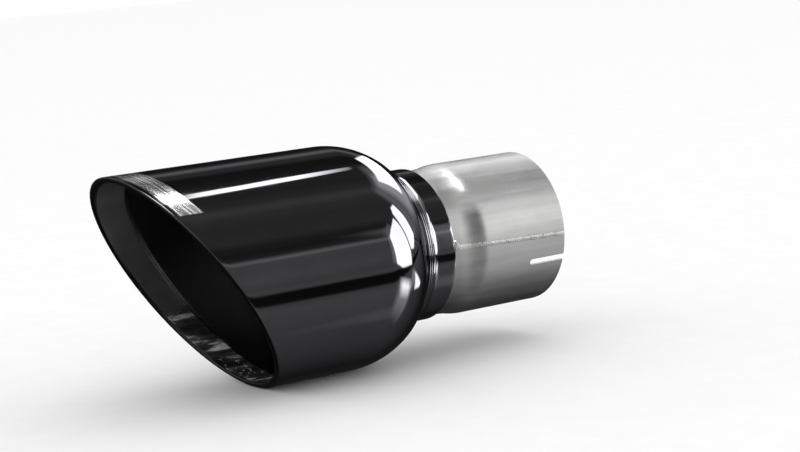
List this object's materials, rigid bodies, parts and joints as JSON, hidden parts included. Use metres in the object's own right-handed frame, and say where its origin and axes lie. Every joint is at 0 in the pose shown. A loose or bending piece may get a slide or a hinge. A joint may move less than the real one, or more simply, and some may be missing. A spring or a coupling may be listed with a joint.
{
  "type": "exhaust tip",
  "caption": "Slant cut exhaust tip: a black chromed shell with a rolled lip and a domed shoulder, tacked onto a slotted steel sleeve that clamps over a tail pipe.",
  "frame": {"origin": "centre of the inlet sleeve's open end, on the tip's axis", "axes": "+Y out of the inlet, towards the car, with the mouth at -Y; +Z towards the side where the slanted lip reaches furthest, which is up as fitted"},
  "size_m": [0.1142, 0.2399, 0.1142],
  "materials": {
    "black_chrome": "mirror polished black chrome",
    "bare_steel": "satin, as drawn"
  },
  "bodies": {
    "root": {"tip_shell": "black_chrome", "inlet_sleeve": "bare_steel", "tack_welds": "bare_steel"}
  },
  "joints": []
}
